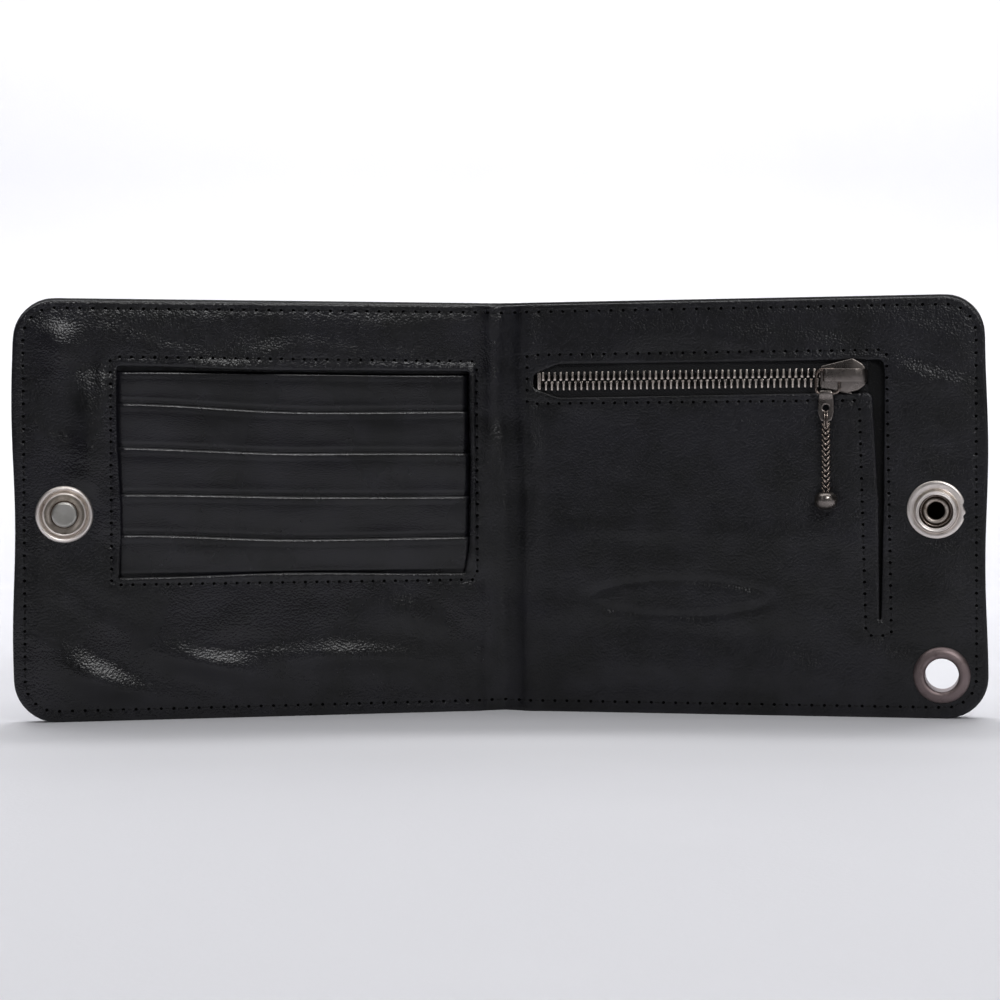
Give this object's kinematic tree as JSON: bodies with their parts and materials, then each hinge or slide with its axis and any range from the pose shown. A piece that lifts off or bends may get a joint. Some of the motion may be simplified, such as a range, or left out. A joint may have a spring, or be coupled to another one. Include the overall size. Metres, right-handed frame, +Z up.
{
  "type": "chain wallet",
  "caption": "Open bifold leather wallet with card slots, zip coin pocket, snap closure and a chain eyelet; opens and shuts.",
  "frame": {"origin": "centre of the footprint of the standing, part-open wallet, on the surface it stands on", "axes": "+Z up along the fold, +X towards the coin half's side edge, -Y out of the open V, towards someone looking into it"},
  "size_m": [0.2388, 0.0342, 0.103],
  "materials": {
    "leather_cover": "grained black leather",
    "leather_panel": "grained black leather, part gloss",
    "leather_strip": "thin glossy black leather",
    "lining": "dull lining",
    "zip_tape": "woven tape",
    "bright_metal": "nickel plate, lightly brushed",
    "old_metal": "antique nickel, dull",
    "thread": "waxed thread"
  },
  "bodies": {
    "coin_half": {"outer_cover_coin_side": "leather_cover", "cover_spine": "leather_cover", "inner_spine": "leather_panel", "cover_lining_coin_side": "lining", "coin_panel": "leather_panel", "coin_pocket_back": "lining", "coin_pocket_lining": "lining", "coin_gusset": "leather_panel", "zip_tape_upper": "zip_tape", "zip_tape_lower": "zip_tape", "zip_teeth_upper": "bright_metal", "zip_teeth_lower": "bright_metal", "zip_bottom_stop": "bright_metal", "zip_top_stops": "bright_metal", "snap_socket": "bright_metal", "snap_spring": "bright_metal", "snap_socket_cap": "bright_metal", "chain_eyelet": "old_metal", "eyelet_washer": "old_metal", "edge_thread_coin_side": "thread", "zip_thread": "thread"},
    "card_half": {"outer_cover_card_side": "leather_cover", "cover_lining_card_side": "lining", "card_panel": "leather_panel", "card_pocket_back": "lining", "card_strip_1": "leather_strip", "card_strip_2": "leather_strip", "card_strip_3": "leather_strip", "card_strip_4": "leather_strip", "card_strip_5": "leather_strip", "snap_stud": "bright_metal", "snap_stud_cap": "bright_metal", "edge_thread_card_side": "thread", "window_thread": "thread"},
    "slider": {"slider_body": "bright_metal"},
    "bail": {"pull_bail": "bright_metal"},
    "tab": {"pull_tab": "bright_metal"},
    "chain_1": {"chain_upper": "bright_metal"},
    "chain_2": {"chain_middle": "bright_metal"},
    "chain_3": {"chain_lower": "bright_metal", "chain_ball": "bright_metal"}
  },
  "joints": [
    {"name": "fold", "type": "hinge", "parent": "coin_half", "child": "card_half", "pos_m": [0, 0.00609, 0.0515], "axis": [0, 0, 1], "range_deg": [-24, 156], "deforming": ["cover_spine", "inner_spine"]},
    {"name": "zip_slide", "type": "slide", "parent": "coin_half", "child": "slider", "axis": [0.9781, -0.2079, 0], "range_m": [-0.066, 0]},
    {"name": "bail_swing", "type": "hinge", "parent": "slider", "child": "bail", "pos_m": [0.07935, -0.01016, 0.0828], "axis": [0.2079, 0.9781, 0], "range_deg": [-30, 30]},
    {"name": "tab_swing", "type": "hinge", "parent": "bail", "child": "tab", "pos_m": [0.07935, -0.01016, 0.0789], "axis": [0.9781, -0.2079, 0], "range_deg": [-80, 0]},
    {"name": "chain_joint_1", "type": "hinge", "parent": "tab", "child": "chain_1", "pos_m": [0.0793, -0.01042, 0.07341], "axis": [0.2079, 0.9781, 0], "range_deg": [-15, 15]},
    {"name": "chain_joint_2", "type": "hinge", "parent": "chain_1", "child": "chain_2", "pos_m": [0.07923, -0.01075, 0.06616], "axis": [0.2079, 0.9781, 0], "range_deg": [-15, 15]},
    {"name": "chain_joint_3", "type": "hinge", "parent": "chain_2", "child": "chain_3", "pos_m": [0.07918, -0.01099, 0.06097], "axis": [0.2079, 0.9781, 0], "range_deg": [-15, 15]}
  ]
}
